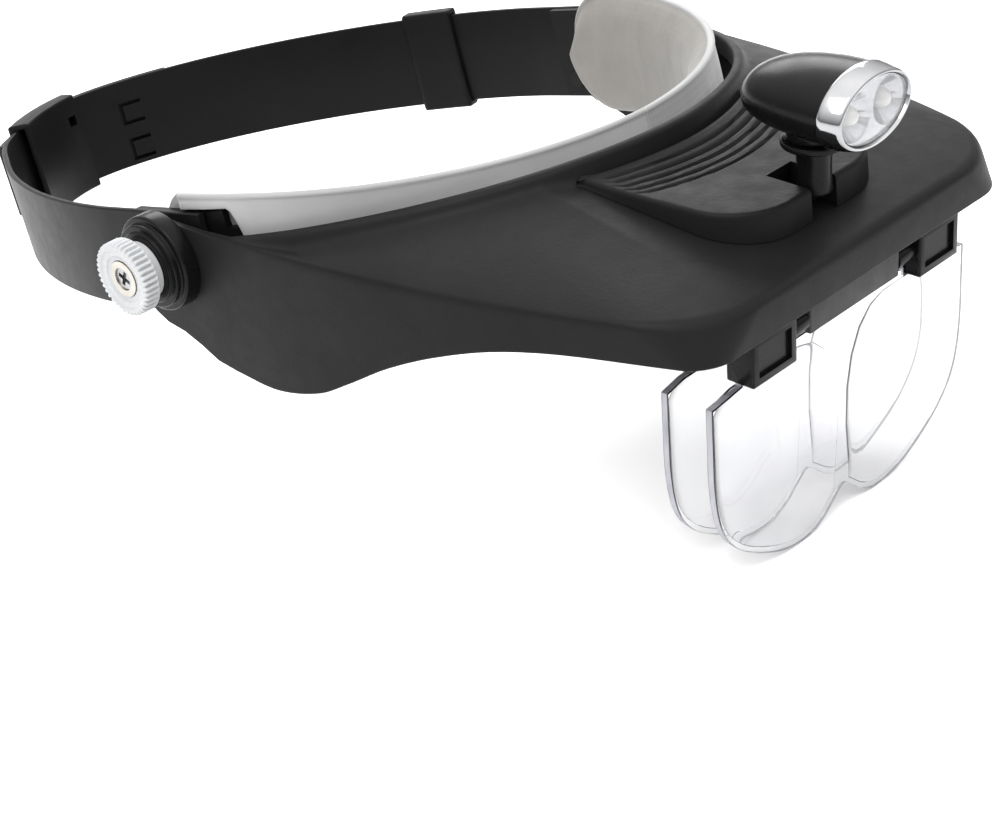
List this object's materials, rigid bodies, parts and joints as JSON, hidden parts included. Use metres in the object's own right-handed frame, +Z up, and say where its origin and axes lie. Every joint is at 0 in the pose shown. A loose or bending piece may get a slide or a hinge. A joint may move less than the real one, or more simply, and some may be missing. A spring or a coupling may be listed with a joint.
{
  "type": "head visor magnifier",
  "caption": "Head-worn magnifier: padded adjustable headband, tilting visor, flip-up and slide-in clear lens plates, and a swivelling lamp on a sliding battery case.",
  "frame": {"origin": "middle of the visor's tilt axis, between the two temple knobs", "axes": "+Z up, -Y the way the wearer looks, +X the wearer's left"},
  "size_m": [0.1926, 0.3045, 0.1152],
  "materials": {
    "visor_plastic": "fine texture",
    "case_plastic": "fine texture",
    "strap_plastic": "satin",
    "gloss_black": "semi gloss",
    "foam": "soft foam",
    "pad_cloth": "satin cloth over foam",
    "hook_tape": "hook tape",
    "steel": "plated",
    "knob_plastic": "milky clear",
    "nickel": "nickel plated",
    "nylon": "plain",
    "lens_acrylic": "polished acrylic",
    "window_plastic": "clear",
    "contact_brass": "bright",
    "wire_red": "insulation",
    "bezel_chrome": "polished",
    "reflector_mirror": "vacuum metallised",
    "board_green": "solder mask",
    "led_lens": "clear epoxy"
  },
  "bodies": {
    "headband": {"front_band": "strap_plastic", "pad_foam": "foam", "pad_cover": "pad_cloth", "hook_strip": "hook_tape", "right_strap": "strap_plastic", "left_strap": "strap_plastic", "strap_rivets": "steel", "buckle_sleeve": "strap_plastic", "buckle_plate": "strap_plastic", "right_pivot_bolt": "steel", "left_pivot_bolt": "steel", "right_washer": "nylon", "left_washer": "nylon"},
    "keeper": {"strap_keeper": "strap_plastic"},
    "right_knob": {"right_knob": "knob_plastic", "right_knob_insert": "nickel"},
    "left_knob": {"left_knob": "knob_plastic", "left_knob_insert": "nickel"},
    "visor": {"visor_shell": "visor_plastic", "right_pivot_disc": "gloss_black", "left_pivot_disc": "gloss_black", "lens_bar": "visor_plastic", "hinge_pins": "steel", "rear_lens_frame": "visor_plastic", "frame_screws": "steel", "case_rails": "visor_plastic"},
    "lens_flip": {"right_lens_clip": "case_plastic", "left_lens_clip": "case_plastic"},
    "front_lens": {"front_lens": "lens_acrylic"},
    "rear_lens": {"rear_lens": "lens_acrylic"},
    "lamp_unit": {"lamp_case": "case_plastic", "case_base": "case_plastic", "button_cells": "steel", "cell_contacts": "contact_brass", "switch_body": "case_plastic", "lamp_wires": "wire_red", "bracket_pin": "steel"},
    "switch": {"switch_slider": "gloss_black"},
    "lamp_bracket": {"tilt_bracket": "gloss_black"},
    "lamp_head": {"swivel_screw": "steel", "lamp_housing": "gloss_black", "lamp_bezel": "bezel_chrome", "reflector": "reflector_mirror", "led_board": "board_green", "leds": "led_lens", "lamp_window": "window_plastic"}
  },
  "joints": [
    {"name": "visor_tilt", "type": "hinge", "parent": "headband", "child": "visor", "pos_m": [0, 0, 0], "axis": [-1, 0, 0], "range_deg": [0, 45]},
    {"name": "right_knob_turn", "type": "hinge", "parent": "headband", "child": "right_knob", "pos_m": [-0.09, 0, 0], "axis": [-1, 0, 0], "range_deg": [-180, 180]},
    {"name": "left_knob_turn", "type": "hinge", "parent": "headband", "child": "left_knob", "pos_m": [0.09, 0, 0], "axis": [1, 0, 0], "range_deg": [-180, 180]},
    {"name": "keeper_slide", "type": "slide", "parent": "headband", "child": "keeper", "axis": [-0.2585, 0.9393, -0.2255], "range_m": [-0.003, 0.003]},
    {"name": "lens_flip_hinge", "type": "hinge", "parent": "visor", "child": "lens_flip", "pos_m": [0, -0.1425, -0.0005], "axis": [-1, 0, 0], "range_deg": [0, 85]},
    {"name": "front_lens_slide", "type": "slide", "parent": "lens_flip", "child": "front_lens", "axis": [0, 0, -1], "range_m": [0, 0.015]},
    {"name": "rear_lens_slide", "type": "slide", "parent": "visor", "child": "rear_lens", "axis": [0, 0, -1], "range_m": [0, 0.015]},
    {"name": "lamp_unit_slide", "type": "slide", "parent": "visor", "child": "lamp_unit", "axis": [0, -0.9898, -0.1425], "range_m": [0, 0.012]},
    {"name": "switch_slide", "type": "slide", "parent": "lamp_unit", "child": "switch", "axis": [0, -1, 0], "range_m": [0, 0.003]},
    {"name": "lamp_tilt", "type": "hinge", "parent": "lamp_unit", "child": "lamp_bracket", "pos_m": [0, -0.1315, 0.0208], "axis": [-1, 0, 0], "range_deg": [-25, 30]},
    {"name": "lamp_swivel", "type": "hinge", "parent": "lamp_bracket", "child": "lamp_head", "pos_m": [0, -0.1335, 0.0335], "axis": [0, 0, 1], "range_deg": [-70, 70]}
  ]
}
